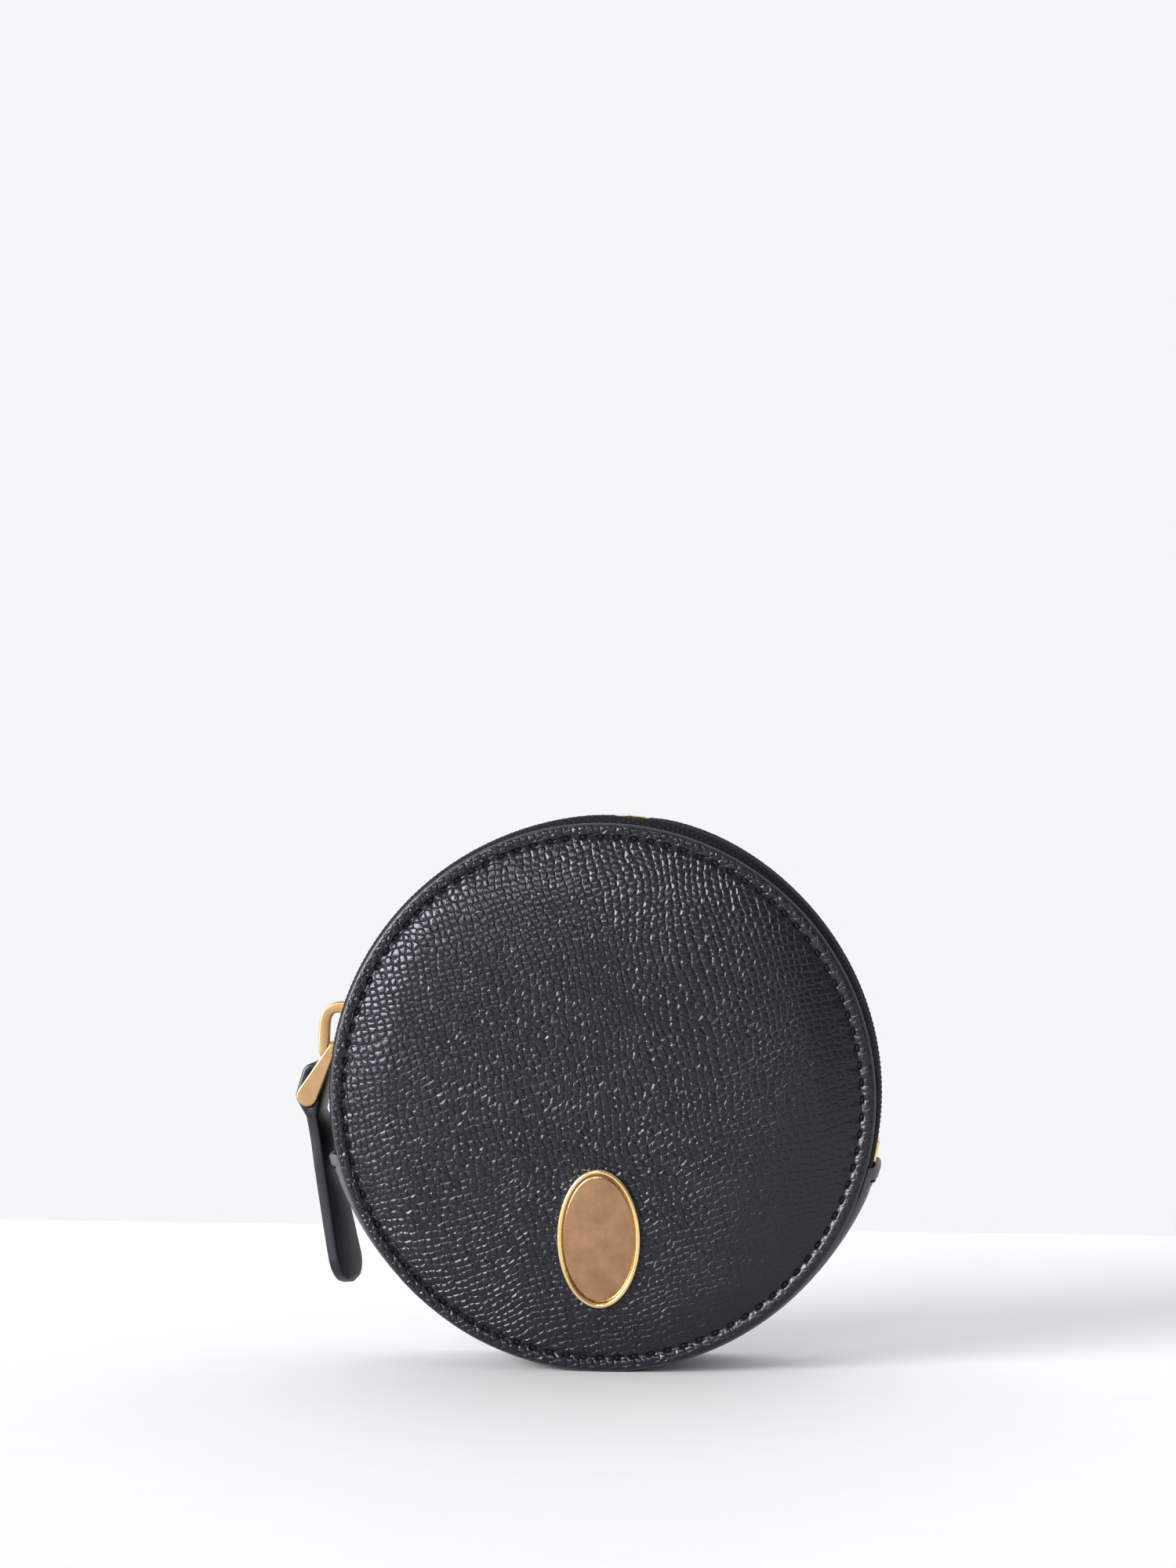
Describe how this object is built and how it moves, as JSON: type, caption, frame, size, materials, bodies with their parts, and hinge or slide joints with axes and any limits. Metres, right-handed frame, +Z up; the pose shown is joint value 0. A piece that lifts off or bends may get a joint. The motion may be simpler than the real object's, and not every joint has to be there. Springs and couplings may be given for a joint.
{
  "type": "coin purse",
  "caption": "Round padded leather coin purse stood on its edge, with a zip over the top, a leather gusset below, a hanging pull and a small oval plaque.",
  "frame": {"origin": "middle of the small flat under the gusset that the purse rests on", "axes": "+Z up, -Y out of the front with the plaque, +X to the right seen from the front"},
  "size_m": [0.1084, 0.0324, 0.1011],
  "materials": {
    "grained_leather": "black leather embossed with a woven-like pebble grain, semi-gloss",
    "plain_leather": "smooth black leather, satin",
    "edge_paint": "painted leather edge, satin",
    "tab_leather": "fine-grained black leather, satin",
    "zip_tape": "black woven tape, matt",
    "thread": "black waxed thread",
    "lining": "black textile lining, matt",
    "padding": "grey foam, matt",
    "zip_metal": "gold-coloured metal, polished",
    "puller_metal": "pale gold metal, satin",
    "plaque_gold": "gold-coloured metal, polished",
    "plaque_rose": "rose-gold metal, polished"
  },
  "bodies": {
    "purse": {"front_panel_lower": "grained_leather", "back_panel": "grained_leather", "gusset": "plain_leather", "front_padding_lower": "padding", "back_padding": "padding", "front_lining_lower": "lining", "back_lining": "lining", "gusset_lining": "lining", "front_stitching_lower": "thread", "back_stitching": "thread", "gusset_end_stitching": "thread", "back_zip_tape": "zip_tape", "back_zip_teeth": "zip_metal", "back_top_stop": "zip_metal", "zip_bottom_stop": "zip_metal", "plaque_frame": "plaque_gold", "plaque_inlay": "plaque_rose", "plaque_posts": "plaque_gold", "plaque_washers": "plaque_gold"},
    "front_flap": {"front_panel_upper": "grained_leather", "front_padding_upper": "padding", "front_lining_upper": "lining", "front_stitching_upper": "thread", "front_zip_tape": "zip_tape", "front_zip_teeth": "zip_metal", "front_top_stop": "zip_metal"},
    "slider": {"slider_body": "puller_metal"},
    "link": {"puller_link": "puller_metal"},
    "pull": {"pull_tab": "tab_leather"}
  },
  "joints": [
    {"name": "slider_travel", "type": "hinge", "parent": "purse", "child": "slider", "pos_m": [0, 0, 0.05], "axis": [0, 1, 0], "range_deg": [0, 169], "deforming": ["back_zip_teeth", "front_zip_teeth"]},
    {"name": "front_opening", "type": "hinge", "parent": "purse", "child": "front_flap", "pos_m": [0, -0.0158, 0.051], "axis": [1, 0, 0], "range_deg": [0, 40], "deforming": ["front_zip_tape", "front_zip_teeth", "front_top_stop"]},
    {"name": "puller_swing", "type": "hinge", "parent": "slider", "child": "link", "pos_m": [-0.05166, 0, 0.05848], "axis": [0, 1, 0], "range_deg": [0, 140]},
    {"name": "tab_swing", "type": "hinge", "parent": "link", "child": "pull", "pos_m": [-0.05533, 0, 0.04925], "axis": [0, 1, 0], "range_deg": [0, 70]}
  ],
  "couplings": [
    {"joint": "front_opening", "follows": "slider_travel", "ratio": 0.2366}
  ]
}
